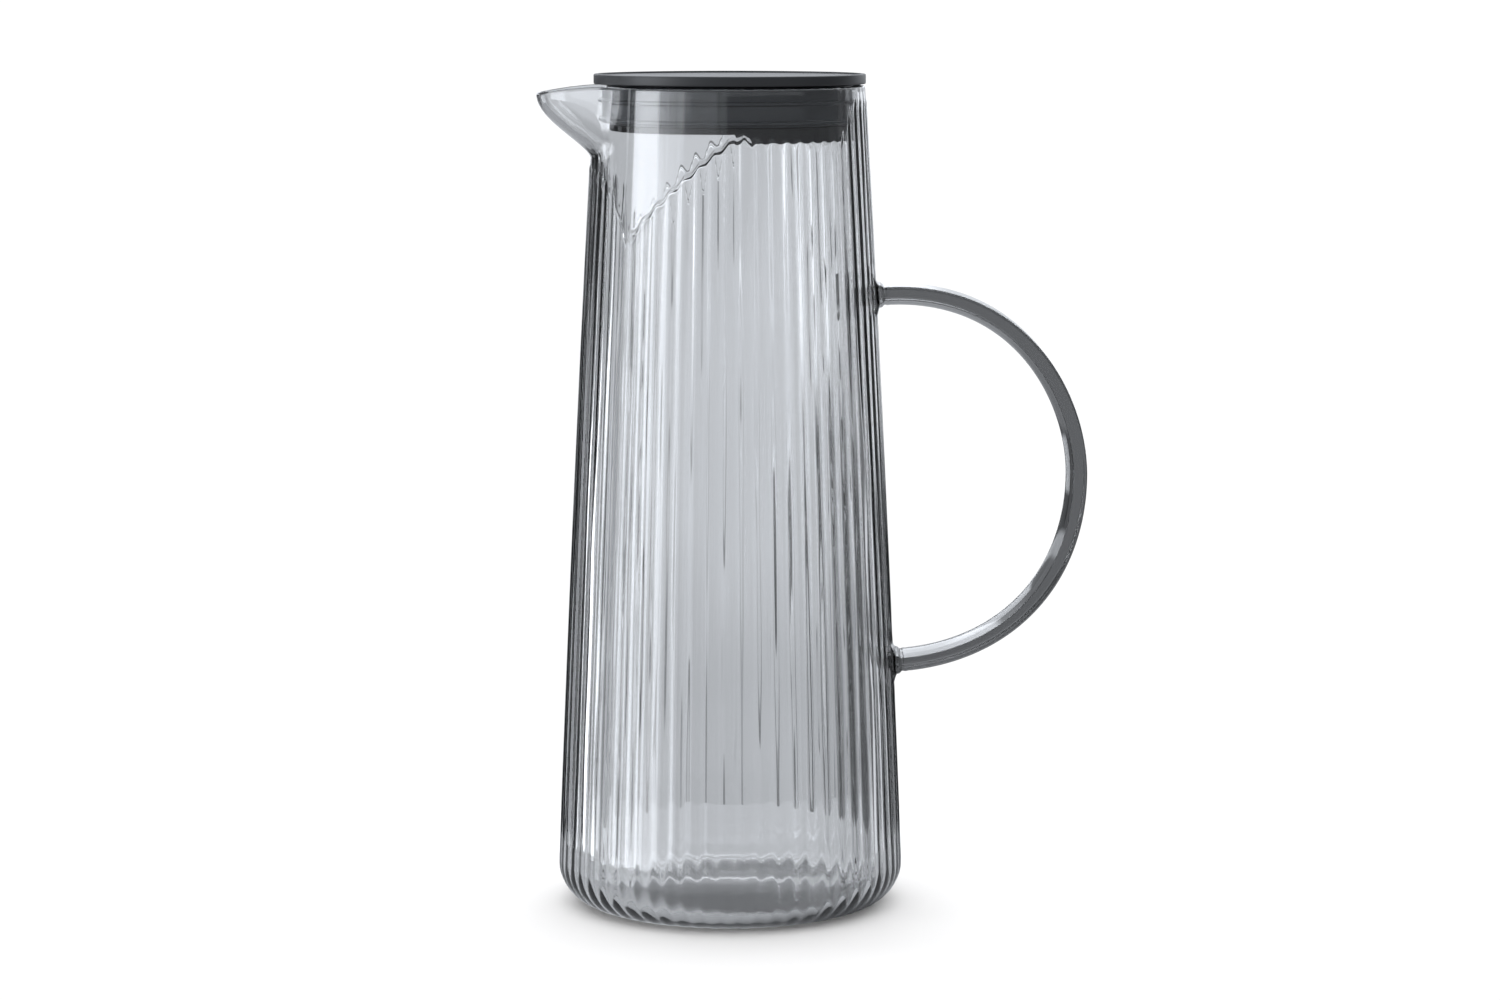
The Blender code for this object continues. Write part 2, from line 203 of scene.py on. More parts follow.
def smoked_glass(name, density):
    """Clear at the surface, and darker with every millimetre that the light crosses."""
    material, tree, output = new_material(name)
    shader = add_node(
        tree,
        "ShaderNodeBsdfPrincipled",
        {
            "Base Color": colour("#FFFFFF"),
            "Roughness": 0.0,
            "IOR": GLASS_IOR,
            "Transmission Weight": 1.0,
        },
    )
    absorb = add_node(
        tree,
        "ShaderNodeVolumeAbsorption",
        {"Color": colour(GLASS_TINT), "Density": density},
    )
    tree.links.new(shader.outputs["BSDF"], output.inputs["Surface"])
    tree.links.new(absorb.outputs["Volume"], output.inputs["Volume"])
    return material


glass = smoked_glass("smoked borosilicate glass, blown", GLASS_DENSITY)
# The handle takes the same glass with more absorption: painted shade that darkens it
shaded_handle_glass = smoked_glass("smoked borosilicate glass, handle, painted darker", HANDLE_SHADED_DENSITY)
for part, density in (("body", GLASS_DENSITY), ("handle", HANDLE_SHADED_DENSITY)):
    left = math.exp(-density * (1 - colour(GLASS_TINT)[0]) * 10 * MM)
    print(f"glass of the {part}: {left:.0%} of the light is left after 10 mm")

# %% [markdown]
# ## The glass body
#
# A gob of glass is blown into a mould with 60 upright grooves, so the outside has 60 round
# ribs and the inside stays smooth. While the rim is still soft it is heated again and the
# spout is pulled out. The heat melts the ribs away round the spout, and they end in points.
#
# We could model one rib and array it, but the spout changes every rib round it. A formula in
# angle and height is simpler: a cone, less the ribs, plus the spout.

# %% Sizes of the glass body
body_low, body_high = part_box("glass_body")
BODY_RADIUS = body_high.y
RIM_HEIGHT = body_high.z
RIM_RADIUS = 42.1 * MM
BARREL_BULGE = 0.55 * MM  # how far the wall swells past a straight cone
BASE_CORNER = 12.5 * MM
GLASS_WALL = 2.2 * MM  # from the top of a rib to the smooth inside
FLOOR_THICKNESS = 3.4 * MM
FLOOR_CORNER = 10.0 * MM
PUSH_UP = 2.4 * MM  # the floor is pushed up by this much in the middle, so it stands on a ring
PUSH_UP_RADIUS = 34.0 * MM
# Waves of a mould-blown wall: how many go round, how many go up a metre, and their height
WAVES = ((5, 6, 0.09 * MM), (8, -11, 0.05 * MM), (13, 15, 0.03 * MM), (21, -7, 0.014 * MM))

SPOUT_REACH = 17.9 * MM  # past the circle of the rim
SPOUT_DEPTH = 22.0 * MM  # from the rim down to the throat
SPOUT_HALF_ANGLE = math.radians(23.0)
SPOUT_DROP = 2.2 * MM  # the tip lies this far below the rim
SPOUT_FLOOR_RISE = 0.8 * MM
SPOUT_CURVE = 1.3  # power of the sine that bends its underside
SPOUT_WALL_SHARE = 0.6  # pulling draws the glass out thinner
print(f"body: {2000 * BODY_RADIUS:.1f} mm across, {1000 * RIM_HEIGHT:.1f} mm to the rim")


# %% The wall and the spout as formulas
def from_spout(angle):
    """How far round from the spout, either way. The spout points along -X."""
    return np.abs((angle % TURN) - math.pi)


def wall_radius(height):
    """A straight cone from base to rim, and a parabola that swells it by the bulge halfway."""
    share = (height - BASE_CORNER) / (RIM_HEIGHT - BASE_CORNER)
    cone = BODY_RADIUS + (RIM_RADIUS - BODY_RADIUS) * share
    return cone + 4 * BARREL_BULGE * share * (1 - share)


def spout_share(angle):
    """A bell round the spout's direction, flat in the middle, as its power is three."""
    return np.exp(-((from_spout(angle) / SPOUT_HALF_ANGLE) ** 3))


def rim_height(angle):
    """The rim dips at the spout, by the square of the bell."""
    return RIM_HEIGHT - SPOUT_DROP * spout_share(angle) ** 2


def spout_push(height, angle):
    """The pulled lip: a sine, raised to a power, from the throat up to the rim."""
    share = np.clip((height - RIM_HEIGHT + SPOUT_DEPTH) / (SPOUT_DEPTH - SPOUT_DROP), 0, 1)
    return SPOUT_REACH * np.sin(math.pi / 2 * share) ** SPOUT_CURVE * spout_share(angle)


def smooth_step(value):
    """0 below 0, 1 above 1, and an S-curve between them."""
    value = np.clip(value, 0, 1)
    return value * value * (3 - 2 * value)


def waves(angle, height, table):
    """A sum of sines that wind round the jug."""
    turns = [(size, n * angle + TURN * up * height + n) for n, up, size in table]
    return sum(size * np.sin(turn) for size, turn in turns)


print(f"half way up, the wall is {1000 * wall_radius(RIM_HEIGHT / 2):.1f} mm from the axis")

# %% [markdown]
# ## The ribs
#
# Where the rim was heated again, the ribs have sunk into a smooth skin. They end along a
# slanting line, each in a point, and the glass that melted has gathered there in a small bead.
# Beside the two welds of the handle, the hot glass has dragged the ribs out of line.
#
# A displacement texture could draw such ribs. A formula is used instead, because it puts every
# point of the mesh where it belongs, and the mesh itself keeps the ribs.

# %% Sizes of the ribs
RIB_COUNT = 60
RIB_DEPTH = 0.8 * MM
VALLEY_ROUNDNESS = 0.5  # at 0 the valleys between the ribs would be sharp folds
RIM_BAND = 3.0 * MM  # plain, fire-polished glass above the ribs
RUNOUT_SHARE = 0.8  # a rib dies out over this share of its tip
MELTED_SHARE = 0.35  # how deep the smooth skin lies, of the rib's depth
GHOST_SHARE = 0.16  # what is left of a rib where it has melted
BEAD_HEIGHT, BEAD_WIDTH = 0.7 * MM, 0.55 * MM
DEPTH_WAVES = ((7, 5, 0.10), (17, -9, 0.08), (29, 4, 0.06))  # as WAVES, in ribs' depths
# Degrees from the spout, depth of the melt line as a share of the spout's, length of the tips in
# mm, and how strongly the melted glass has run up to a bead
MELT_TABLE = np.array(
    [
        (0.0, 1.07, 3.0, 0.0), (20.0, 1.12, 3.0, 0.0), (36.0, 1.36, 3.0, 0.0),
        (45.0, 2.10, 1.4, 0.3), (58.0, 1.66, 1.2, 1.0), (70.0, 1.28, 1.2, 1.0),
        (82.0, 0.92, 1.2, 1.0), (92.0, 0.66, 1.2, 1.0), (102.0, 0.66, 2.4, 0.0),
        (142.0, 0.70, 3.0, 0.0), (152.0, 0.14, 3.0, 0.0),
    ]
)
# Both welds of the handle: height, and how far they drag the ribs beside them, in ribs
HANDLE_TOP, HANDLE_BOTTOM = 191.1 * MM, 76.8 * MM
WELDS = (HANDLE_BOTTOM, 0.32), (HANDLE_TOP, 0.2)
WELD_REACH, WELD_CLIMB = 15.0 * MM, 12.0 * MM  # to the sides, and up and down
WELD_WAVE = 15.0 * MM
WELD_TWIST = 20 / 3  # radians by which the wave runs ahead, one reach to the side


# %% The ribs as formulas
def melt_row(angle, column):
    """One column of the melt table at each angle, by straight lines between its rows."""
    return np.interp(np.degrees(from_spout(angle)), MELT_TABLE[:, 0], MELT_TABLE[:, column])


def melt_line(angle):
    """Height where the ribs have melted away."""
    return np.minimum(RIM_HEIGHT - RIM_BAND, RIM_HEIGHT - SPOUT_DEPTH * melt_row(angle, 1))


def weld_drag(angle, height):
    """How far the hot welds have dragged the ribs, in ribs: a sine up the wall, in a bell that
    fades to all sides of each weld."""
    aside = wall_radius(height) * np.sin(angle)
    drag = 0
    for middle, size in WELDS:
        up = height - middle
        bell = np.exp(-((aside / WELD_REACH) ** 2) - (up / WELD_CLIMB) ** 2)
        wave = np.sin(TURN * up / WELD_WAVE + WELD_TWIST * aside / WELD_REACH)
        drag = drag + size * bell * wave
    return drag * (np.cos(angle) > 0)


def rib_cut(angle, height):
    """Depth below the rib tops. Across a rib it is one minus a rounded, folded cosine. Along it,
    the rib fades out at the melt line, its sides lower than its middle, so it ends in a point. A
    bell curve along the line is the bead of glass that has run up there."""
    dragged = RIB_COUNT * angle / 2 + math.pi * weld_drag(angle, height)
    folded = np.sqrt(np.cos(dragged) ** 2 + VALLEY_ROUNDNESS**2)
    rib = (math.sqrt(1 + VALLEY_ROUNDNESS**2) - folded) / math.sqrt(1 + VALLEY_ROUNDNESS**2)
    middle = np.round(angle * RIB_COUNT / TURN) * TURN / RIB_COUNT
    aside = np.abs(angle - middle) * RIB_COUNT / math.pi
    tip = melt_row(angle, 2) * MM
    end = melt_line(angle) - tip * aside
    ghost = GHOST_SHARE * (1 - spout_share(angle))
    whole = ghost + (1 - ghost) * smooth_step((end - height) / (RUNOUT_SHARE * tip))
    bead = melt_row(angle, 3) * np.exp(-(((height - end) / BEAD_WIDTH) ** 2))
    depth = RIB_DEPTH * (1 + waves(middle, height, DEPTH_WAVES) * whole)
    return depth * (rib * whole + MELTED_SHARE * (1 - whole)) - BEAD_HEIGHT * bead


def outside_radius(angle, height):
    """The wall, less the ribs, plus the spout."""
    return wall_radius(height) - rib_cut(angle, height) + spout_push(height, angle)


def inside_radius(angle, height):
    """The wall, less its thickness, plus the spout, whose channel starts a little higher."""
    push = spout_push(height - SPOUT_FLOOR_RISE, angle)
    wall = GLASS_WALL * (1 - (1 - SPOUT_WALL_SHARE) * push / SPOUT_REACH)
    return wall_radius(height) - wall + push + waves(angle, height, WAVES)


print(f"a rib is {TURN * 1000 * BODY_RADIUS / RIB_COUNT:.1f} mm wide at the base")

# %% [markdown]
# ## The body as rings
#
# The outside needs 12 points across each rib, or the light would break on the facets. The
# inside is smooth, so a quarter of them is enough there. The rings of points are packed
# closely where the ribs end and up the spout, and lie far apart along the plain ribs.

# %% Rings of the outside
POINTS_PER_RIB = 12
OUTSIDE_COLUMNS = RIB_COUNT * POINTS_PER_RIB
INSIDE_COLUMNS = OUTSIDE_COLUMNS // 4
CORNER_ROWS, WALL_ROWS, MELT_ROWS, NECK_ROWS, LIP_ROWS = 12, 20, 28, 14, 5
WELD_ROWS = 16, 10  # more rows beside the lower and the upper weld
WELD_ROWS_REACH = 1.6 * WELD_CLIMB
INNER_WALL_ROWS, CURVE_ROWS, FLOOR_ROWS = 30, 10, 7
FOOT_SHARES = 0.2, 0.4, 0.6, 0.8, 0.9, 0.97  # rings under the floor, of its flat's radius


def column_angles(columns):
    """Angles of points that lie evenly round the axis."""
    return np.arange(columns) * TURN / columns


def outside_rings():
    """Radius and height of each ring of the outside, from the underside up to the lip."""
    angle = column_angles(OUTSIDE_COLUMNS)
    turn = np.linspace(0, math.pi / 2, CORNER_ROWS + 1)[:, None]
    corner = BASE_CORNER - rib_cut(angle, BASE_CORNER) * np.sin(turn)
    radii = [BODY_RADIUS - BASE_CORNER + corner * np.sin(turn)]
    heights = [BASE_CORNER - corner * np.cos(turn)]
    tip = melt_row(angle, 2) * MM
    low = melt_line(angle) - tip * (1 + RUNOUT_SHARE)
    high = melt_line(angle) + 3 * BEAD_WIDTH
    top = rim_height(angle) - GLASS_WALL / 2
    high = np.minimum(high, top - RIM_BAND / 4)
    even = [np.linspace(0, 1, rows + 1)[1:] for rows in (WALL_ROWS, MELT_ROWS, NECK_ROWS)]
    for (middle, _), rows in zip(WELDS, WELD_ROWS):
        near = middle + WELD_ROWS_REACH * np.linspace(-1, 1, rows)
        even[0] = np.append(even[0], (near - BASE_CORNER) / (low.max() - BASE_CORNER))
    starts = np.full_like(angle, BASE_CORNER), low, high
    for start, end, share in zip(starts, (low, high, top), even):
        height = start + (end - start) * np.sort(share)[:, None]
        heights.append(height)
        radii.append(outside_radius(angle, height))
    return np.vstack(radii), np.vstack(heights)


print(f"outside: {len(outside_rings()[0])} rings of {OUTSIDE_COLUMNS} points")


# %% Rings of the lip and the inside
def lip_rings(columns, turns):
    """The rounded rim: a half circle over the wall's thickness, from outside to inside."""
    angle = column_angles(columns)
    top = rim_height(angle) - GLASS_WALL / 2
    outer, inner = outside_radius(angle, top), inside_radius(angle, top)
    turn = turns[:, None]
    radius = (outer + inner) / 2 + (outer - inner) / 2 * np.cos(turn)
    return radius, top + GLASS_WALL / 2 * np.sin(turn)


def push_up(radius):
    """The hollow underside and the floor over it rise to the middle in one S-curve."""
    return PUSH_UP * (1 - smooth_step(radius / PUSH_UP_RADIUS))


def inside_rings():
    """The inside, from under the lip down to the floor's corner."""
    angle = column_angles(INSIDE_COLUMNS)
    top = rim_height(angle) - GLASS_WALL / 2
    throat = np.full_like(angle, RIM_HEIGHT - SPOUT_DEPTH)
    start = np.full_like(angle, FLOOR_THICKNESS + FLOOR_CORNER)
    heights, radii = [], []
    for a, b, rows in ((top, throat, NECK_ROWS), (throat, start, INNER_WALL_ROWS)):
        height = a + (b - a) * np.linspace(0, 1, rows + 1)[1:, None]
        heights.append(height)
        radii.append(inside_radius(angle, height))
    turn = np.linspace(0, math.pi / 2, CURVE_ROWS + 1)[1:, None]
    middle = inside_radius(angle, start) - FLOOR_CORNER
    radii.append(middle + FLOOR_CORNER * np.cos(turn))
    heights.append(start - FLOOR_CORNER * np.sin(turn))
    radii.append(middle * np.linspace(1, 0, FLOOR_ROWS + 2)[1:-1, None])
    heights.append(FLOOR_THICKNESS + push_up(radii[-1]))
    return np.vstack(radii), np.vstack(heights)


print(f"inside: {len(inside_rings()[0])} rings of {INSIDE_COLUMNS} points")


# %% The body as one closed surface
def glass_body():
    """Outside, lip and inside as one closed surface, with a fan over the floor and one below."""
    lip_turns = np.linspace(0, math.pi, 2 * LIP_ROWS + 1)
    out_r, out_z = outside_rings()
    lip_out_r, lip_out_z = lip_rings(OUTSIDE_COLUMNS, lip_turns[1 : LIP_ROWS + 1])
    lip_in_r, lip_in_z = lip_rings(INSIDE_COLUMNS, lip_turns[LIP_ROWS + 1 :])
    in_r, in_z = inside_rings()

    # The hollow underside: rings drawn in to the middle
    ring = np.array(FOOT_SHARES)[:, None]
    foot = (BODY_RADIUS - BASE_CORNER) * ring * np.ones(OUTSIDE_COLUMNS)
    outer_r = np.vstack([foot, out_r, lip_out_r])
    outer_z = np.vstack([push_up(foot), out_z, lip_out_z])
    inner_r, inner_z = np.vstack([lip_in_r, in_r]), np.vstack([lip_in_z, in_z])

    outer = cylinder_points(outer_r, column_angles(OUTSIDE_COLUMNS), outer_z)
    inner = cylinder_points(inner_r, column_angles(INSIDE_COLUMNS), inner_z)
    centres = np.array([(0, 0, PUSH_UP), (0, 0, FLOOR_THICKNESS + PUSH_UP)])
    points = np.vstack([outer, inner, centres])
    first = len(outer)
    outer_top = np.arange(first - OUTSIDE_COLUMNS, first)
    inner_top = np.arange(first, first + INSIDE_COLUMNS)
    last_ring = np.arange(first + len(inner) - INSIDE_COLUMNS, first + len(inner))
    faces = [
        grid_quads(len(outer_r), OUTSIDE_COLUMNS),
        first + grid_quads(len(inner_r), INSIDE_COLUMNS),
        step_down(outer_top, inner_top),
        fan(last_ring, len(points) - 1),
        fan(np.arange(OUTSIDE_COLUMNS), len(points) - 2)[:, ::-1],
    ]
    return new_object("jug_body", points, faces, glass)


jug_body = glass_body()
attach(jug_body, "jug")
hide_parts("glass_body")

# %% [markdown]
# ## The handle
#
# The handle is a ribbon of the same glass, softened in a flame, bent to a loop and pressed
# against the wall at both ends, where it spreads out in small folds and welds. Its outer face is
# flat. Its inner face falls away to both edges in a wide slant, so the ribbon is thinner there,
# and the slants catch the light.
#
# A curve with a bevel would give the loop but not the spread feet, so the section is carried
# along the path here, square to it, and grows towards each foot.


# %% Outlines with soft corners
LONGEST_CORNER = 0.45  # of a side, so the corners at its two ends never meet


def soften(corners, sizes, steps=5, guard=0.0):
    """Rounds an outline. corners has the shape (corners, columns, 2). Each corner becomes a
    parabola between the points that lie its size before and after it. A guard adds one more
    point, by that share further out, on the straight side at each end, so the side stays flat."""
    sizes = np.array(sizes).reshape(-1, 1, 1)
    ends = []
    for neighbour in (np.roll(corners, 1, axis=0), np.roll(corners, -1, axis=0)):
        side = neighbour - corners
        length = np.linalg.norm(side, axis=-1, keepdims=True)
        ends.append(side / length * np.minimum(sizes, LONGEST_CORNER * length))
    t = np.linspace(0, 1, steps).reshape(1, -1, 1, 1)
    before, after = (end[:, None] for end in ends)
    rounded = before * (1 - t) ** 2 + after * t**2
    if guard:
        rounded = np.hstack([before * (1 + guard), rounded, after * (1 + guard)])
    return (corners[:, None] + rounded).reshape(-1, *corners.shape[1:])


SQUARE = np.array([(0, 0), (0, 1), (1, 1), (1, 0)], float)[:, None]
print("a square with soft corners has", len(soften(SQUARE, [0.1] * 4)), "points")

# %% Sizes of the handle
HANDLE_WIDTH = 16.0 * MM
HANDLE_THICKNESS = 6.2 * MM
SLANT_HEIGHT, SLANT_WIDTH = 1.9 * MM, 7.0 * MM  # the two slants nearly meet in the middle
# Corners of the section: two of the outer face, then slant, inner face, inner face and slant
HANDLE_CORNERS = np.array([1.0, 1.0, 0.3, 5.0, 5.0, 0.3]) * MM
HANDLE_GUARD = 0.08  # how far outside each corner the extra points lie, of its size
HANDLE_OUT = 108.2 * MM  # its middle line, from the jug's axis
HANDLE_OUT_HEIGHT = 135.6 * MM
HANDLE_TOP_PULL, HANDLE_TOP_RISE = 45.0 * MM, math.radians(6.0)
HANDLE_UPPER_PULL, HANDLE_LOWER_PULL = 24.2 * MM, 32.6 * MM
HANDLE_BOTTOM_PULL, HANDLE_BOTTOM_RISE = 36.0 * MM, math.radians(2.5)
FOOT_LENGTH = 3.6 * MM
FOOT_HEIGHT = 14.8 * MM
FOOT_WIDTH = 18.0 * MM
FOOT_POWER = 2.5  # how suddenly the foot spreads
FOOT_SINK = 0.9 * MM  # the weld closes the valleys between the ribs
FOLD_HEIGHT, FOLD_WAVE, FOLD_REACH = 0.7 * MM, 1.9 * MM, 3.5 * MM
HANDLE_ROWS, CORNER_STEPS = 110, 8
ROW_PACKING = 0.85  # 0 is even, and towards 1 the rows crowd at both ends


# %% Path and section of the handle
def bezier(points, steps):
    """Four control points to a curve: each is weighed by the cubic's four products."""
    t = np.linspace(0, 1, steps)[:, None]
    a, b, c, d = (np.array(p) for p in points)
    return a * (1 - t) ** 3 + 3 * b * t * (1 - t) ** 2 + 3 * c * t**2 * (1 - t) + d * t**3


def pulled(foot, length, rise):
    """A control point that lies a length away from a foot, at an angle over the horizontal."""
    return foot[0] + length * math.cos(rise), foot[1] + length * math.sin(rise)


def handle_path():
    """Middle line in the XZ plane, as x and z: two cubics that meet at the outermost point."""
    top = (wall_radius(HANDLE_TOP) - FOOT_SINK, HANDLE_TOP)
    out = (HANDLE_OUT, HANDLE_OUT_HEIGHT)
    low = (wall_radius(HANDLE_BOTTOM) - FOOT_SINK, HANDLE_BOTTOM)
    from_top = pulled(top, HANDLE_TOP_PULL, HANDLE_TOP_RISE)
    from_low = pulled(low, HANDLE_BOTTOM_PULL, HANDLE_BOTTOM_RISE)
    over, under = (out[0], out[1] + HANDLE_UPPER_PULL), (out[0], out[1] - HANDLE_LOWER_PULL)
    upper = bezier([top, from_top, over, out], HANDLE_ROWS)
    lower = bezier([out, under, from_low, low], HANDLE_ROWS)
    dense = np.vstack([upper, lower[1:]])
    along = np.concatenate([[0], np.cumsum(np.linalg.norm(np.diff(dense, axis=0), axis=1))])
    # Rows lie closer together near both ends, where the feet spread
    even = np.linspace(0, 1, 2 * HANDLE_ROWS)
    packed = even - np.sin(TURN * even) / TURN * ROW_PACKING
    where = along[-1] * packed
    line = np.stack([np.interp(where, along, dense[:, i]) for i in (0, 1)], axis=-1)
    return line, where


def ribbon_section(width, thickness):
    """A flat outer face with small round corners, and an inner face with a slant to each edge.
    Gives places across and outward, with one row for each row of sizes."""
    side, face = width / 2, thickness / 2
    slant, inner = SLANT_HEIGHT - face, SLANT_WIDTH - side
    corners = [(side, face), (-side, face), (-side, slant)]
    corners += [(inner, -face), (-inner, -face), (side, slant)]
    corners = np.array(corners)[..., 0].transpose(0, 2, 1)
    outline = soften(corners, HANDLE_CORNERS, CORNER_STEPS, HANDLE_GUARD)
    return outline[..., 0].T, outline[..., 1].T


print(f"the handle's middle line is {1000 * handle_path()[1][-1]:.0f} mm long")


# %% The handle as one closed surface
def glass_handle():
    """The section carried along the path, square to it."""
    line, where = handle_path()
    ahead = np.gradient(line, axis=0)
    ahead /= np.linalg.norm(ahead, axis=1)[:, None]
    outward = np.stack([-ahead[:, 1], ahead[:, 0]], axis=-1)
    from_wall = np.minimum(where, where[-1] - where)
    spread = np.clip(1 - from_wall / FOOT_LENGTH, 0, 1)[:, None] ** FOOT_POWER
    thickness = HANDLE_THICKNESS + (FOOT_HEIGHT - HANDLE_THICKNESS) * spread
    width = HANDLE_WIDTH + (FOOT_WIDTH - HANDLE_WIDTH) * spread
    # The glass that was pressed against the wall has piled up in small folds
    folds = FOLD_HEIGHT * np.sin(TURN * from_wall / FOLD_WAVE)
    folds = (folds * np.exp(-((from_wall / FOLD_REACH) ** 2)))[:, None]
    y, over = ribbon_section(width + folds, thickness + folds)
    x = line[:, :1] + outward[:, :1] * over
    z = line[:, 1:] + outward[:, 1:] * over
    # The end rings follow the round wall
    for end in (0, -1):
        reach = wall_radius(z[end]) - FOOT_SINK
        x[end] = np.sqrt(reach**2 - y[end] ** 2)
    rows, columns = x.shape
    points = np.stack([x, y, z], axis=-1)
    centres = points[[0, -1]].mean(axis=1)
    centres[:, 0] = [wall_radius(c[2]) - FOOT_SINK for c in centres]
    points = np.vstack([points.reshape(-1, 3), centres])
    return new_object("jug_handle", points, capped_quads(rows, columns), shaded_handle_glass)


jug_handle = glass_handle()
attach(jug_handle, "jug")
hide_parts("glass_handle")


# %% [markdown]
# ## Plastic and silicone
#
# The cap and the collar are injection moulded in one charcoal polypropylene. The mould was
# spark eroded, which leaves a fine even grain, so the plastic is matte and its highlights are
# broad. The seal is silicone of nearly the same grey. It is cast in a polished mould, so it is
# smoother, and it stays a little brighter where it is lit.

# %% Lid materials
# A spark-eroded grain is about 0.1 mm wide, too fine to show here, so it is drawn coarser
GRAIN = 0.35 * MM
GRAIN_DEPTH = 0.03 * MM
PLASTIC_IOR = 1.49
SPECULAR_LEVEL = 0.4  # below the usual 0.5, as the grain's walls hide part of the gloss


def moulded(name, base, roughness, grain_strength):
    """A plastic surface: one colour, with fine noise that tilts the surface a little."""
    material, tree, output = new_material(name)
    places = add_node(tree, "ShaderNodeTexCoord")
    grain = add_node(
        tree,
        "ShaderNodeTexNoise",
        {"Vector": places.outputs["Object"], "Scale": 1 / GRAIN, "Detail": 2.0},
    )
    bump = add_node(
        tree,
        "ShaderNodeBump",
        {"Strength": grain_strength, "Distance": GRAIN_DEPTH, "Height": grain.outputs["Fac"]},
    )
    shader = add_node(
        tree,
        "ShaderNodeBsdfPrincipled",
        {
            "Base Color": colour(base),
            "Roughness": roughness,
            "IOR": PLASTIC_IOR,
            "Specular IOR Level": SPECULAR_LEVEL,
            "Normal": bump.outputs["Normal"],
        },
    )
    tree.links.new(shader.outputs["BSDF"], output.inputs["Surface"])
    return material


charcoal = moulded("polypropylene, charcoal, spark-textured mould", "#191A1C", 0.45, 0.12)
silicone = moulded("silicone, grey, polished mould", "#34373B", 0.22, 0.04)
print("materials of the lid:", charcoal.name, "/", silicone.name)

# %% [markdown]
# ## The lid
#
# Cap, collar and seal are round, so each is an outline of radius and height carried round the
# axis. Moulded edges are never sharp: every corner of an outline is replaced by a short
# parabola. The collar's lower edge changes as it goes round, so its outline is worked out at
# every angle: nine notches open downwards on the strainer side, and on the plain side a deeper
# skirt with a gap to each side of the handle.


# %% Outlines carried round the axis
def turned(outline, columns):
    """Points of an outline carried round the axis. The outline has the shape (rows, 1, 2), or
    (rows, columns, 2) where it changes on its way round."""
    outline = np.broadcast_to(outline, (len(outline), columns, 2))
    return cylinder_points(outline[..., 0], column_angles(columns), outline[..., 1])


# %% Cap
CAP_REST = 0.4 * MM
CAP_BASE = RIM_HEIGHT + CAP_REST
cap_low, cap_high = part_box("lid_cap")
CAP_RADIUS = cap_high.x
CAP_THICKNESS = cap_high.z - CAP_BASE
CAP_DISH = 0.6 * MM  # how far the top lies below its lip
CAP_LIP = 1.3 * MM
CAP_SOFT = 0.45 * MM
BOSS_HEIGHT = 1.5 * MM
COLLAR_BORE = 34.2 * MM
SEAT_GAP = 0.3 * MM  # between pieces of the lid that touch on the real one
CAP_COLUMNS = 240
print(f"cap: {2000 * CAP_RADIUS:.1f} mm across, {1000 * CAP_THICKNESS:.1f} mm thick")


def lid_cap():
    """The outline runs from the middle of the top over the lip and back under to the middle."""
    dish, boss = CAP_RADIUS - CAP_LIP, COLLAR_BORE - SEAT_GAP
    corners = np.array(
        [
            (dish / 4, CAP_THICKNESS - CAP_DISH),
            (dish, CAP_THICKNESS - CAP_DISH),
            (dish, CAP_THICKNESS),
            (CAP_RADIUS, CAP_THICKNESS),
            (CAP_RADIUS, 0),
            (boss, 0),
            (boss, -BOSS_HEIGHT),
            (dish / 4, -BOSS_HEIGHT),
        ]
    )
    sizes = [0, CAP_SOFT, CAP_SOFT / 2, CAP_SOFT, CAP_SOFT, CAP_SOFT / 2, CAP_SOFT, 0]
    outline = soften(corners[:, None], sizes)
    # Both ends stop at one point, as a fan has its own centre
    outline = outline[4:-4] + (0, CAP_BASE)
    points = turned(outline[::-1], CAP_COLUMNS)
    centres = np.array([(0, 0, outline[-1, 0, 1]), (0, 0, outline[0, 0, 1])])
    faces = capped_quads(len(outline), CAP_COLUMNS)
    return new_object("lid_top", np.vstack([points, centres]), faces, charcoal)


lid_top = lid_cap()
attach(lid_top, "lid")
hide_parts("lid_cap")

# %% Collar
COLLAR_RADIUS = 36.8 * MM
COLLAR_DEPTH = 14.5 * MM  # below the cap, on the strainer side
SOLID_STEP, SKIRT_STEP = 1.3 * MM, 1.6 * MM  # how much lower the plain side and its skirt hang
STRAINER_INSET = 0.6 * MM
STRAINER_HALF_ANGLE = math.radians(93.0)
SKIRT_FROM_SPOUT = math.radians(99.0)
NOTCH_FROM_SPOUT = math.radians(156.0), math.radians(162.0)
SKIRT_CORNER = 1.2 * MM
SLOT_COUNT = 9
SLOT_WIDTH, SLOT_HEIGHT = 1.5 * MM, 1.6 * MM
SLOT_PITCH = math.radians(10.0)
SEAL_DEPTH = 12.3 * MM
SEAL_GROOVE, SEAL_PROUD = 1.2 * MM, 1.3 * MM
COLLAR_SOFT = np.array([0.1, 0.1, 0.1, 0.2, 0.3, 0.2]) * MM
COLLAR_COLUMNS = 1440
deepest = COLLAR_DEPTH + SOLID_STEP + SKIRT_STEP
print(f"collar: its skirt hangs {1000 * deepest:.1f} mm below the cap")


def rounded_step(distance, corner):
    """0 outside, a quarter circle up over the corner's size, then 1."""
    share = np.clip(distance / corner, 0, 1)
    return np.sqrt(1 - (1 - share) ** 2)


